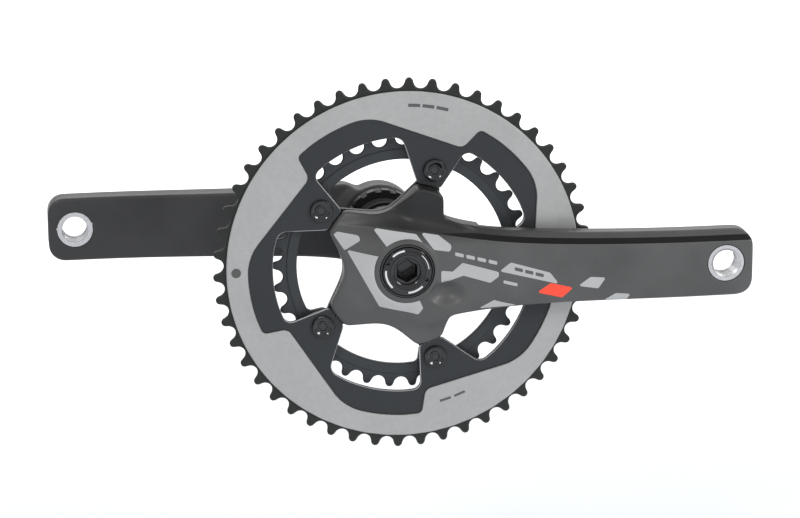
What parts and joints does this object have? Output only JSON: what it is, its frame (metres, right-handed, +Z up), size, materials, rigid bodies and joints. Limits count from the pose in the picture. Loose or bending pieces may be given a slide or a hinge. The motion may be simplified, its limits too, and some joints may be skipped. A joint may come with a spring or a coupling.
{
  "type": "bicycle crankset",
  "caption": "Bicycle crankset: carbon arms on a hollow spindle, toothed chainrings bolted to a spider, and a threaded bottom bracket that it spins in.",
  "frame": {"origin": "centre of the bottom bracket, on the spindle's axis and midway between the arms' outer faces", "axes": "+X along the drive-side arm towards its pedal thread, +Y along the spindle towards the left side, +Z up"},
  "size_m": [0.375, 0.146, 0.2062],
  "materials": {
    "satin_carbon": "satin moulded carbon with light grey and orange-red patches",
    "anodised_rings": "satin anodised, light grey rim and black pocket and teeth",
    "black_ring_alloy": "satin black anodised",
    "bright_steel": "ground steel",
    "gloss_black": "black oxide, glossy",
    "turned_alloy": "turned bright alloy",
    "black_cup_alloy": "satin black anodised",
    "black_nylon": "matte black plastic"
  },
  "bodies": {
    "bottom_bracket": {"right_cup": "black_cup_alloy", "left_cup": "black_cup_alloy", "center_sleeve": "black_nylon", "right_outer_race": "bright_steel", "left_outer_race": "bright_steel", "right_bearing_seal": "black_nylon", "left_bearing_seal": "black_nylon"},
    "crank": {"spindle": "bright_steel", "right_inner_race": "bright_steel", "left_inner_race": "bright_steel", "right_spacer_washer": "bright_steel", "left_spacer_washer": "bright_steel", "drive_arm": "satin_carbon", "drive_hub_insert": "black_cup_alloy", "left_arm": "satin_carbon", "left_hub_insert": "black_cup_alloy", "right_pedal_insert": "turned_alloy", "left_pedal_insert": "turned_alloy", "crank_bolt": "gloss_black", "bolt_washer": "bright_steel", "extractor_cap": "gloss_black", "left_dust_cap": "black_nylon", "outer_chainring": "anodised_rings", "inner_chainring": "black_ring_alloy", "chainring_bolt_1": "gloss_black", "chainring_bolt_2": "gloss_black", "chainring_bolt_3": "gloss_black", "chainring_bolt_4": "gloss_black", "chainring_nut_1": "gloss_black", "chainring_nut_2": "gloss_black", "chainring_nut_3": "gloss_black", "chainring_nut_4": "gloss_black", "hidden_chainring_bolt": "gloss_black", "shift_pin_1": "bright_steel", "shift_pin_2": "bright_steel", "shift_pin_3": "bright_steel", "shift_pin_4": "bright_steel", "shift_pin_5": "bright_steel", "index_rivet": "gloss_black"},
    "right_balls": {"right_ball_set": "bright_steel"},
    "left_balls": {"left_ball_set": "bright_steel"}
  },
  "joints": [
    {"name": "crank_spin", "type": "hinge", "parent": "bottom_bracket", "child": "crank", "pos_m": [0, 0, 0], "axis": [0, 1, 0], "continuous": true},
    {"name": "right_balls_spin", "type": "hinge", "parent": "bottom_bracket", "child": "right_balls", "pos_m": [0, -0.04065, 0], "axis": [0, 1, 0], "continuous": true},
    {"name": "left_balls_spin", "type": "hinge", "parent": "bottom_bracket", "child": "left_balls", "pos_m": [0, 0.04065, 0], "axis": [0, 1, 0], "continuous": true}
  ],
  "couplings": [
    {"joint": "right_balls_spin", "follows": "crank_spin", "ratio": 0.4468},
    {"joint": "left_balls_spin", "follows": "crank_spin", "ratio": 0.4468}
  ]
}
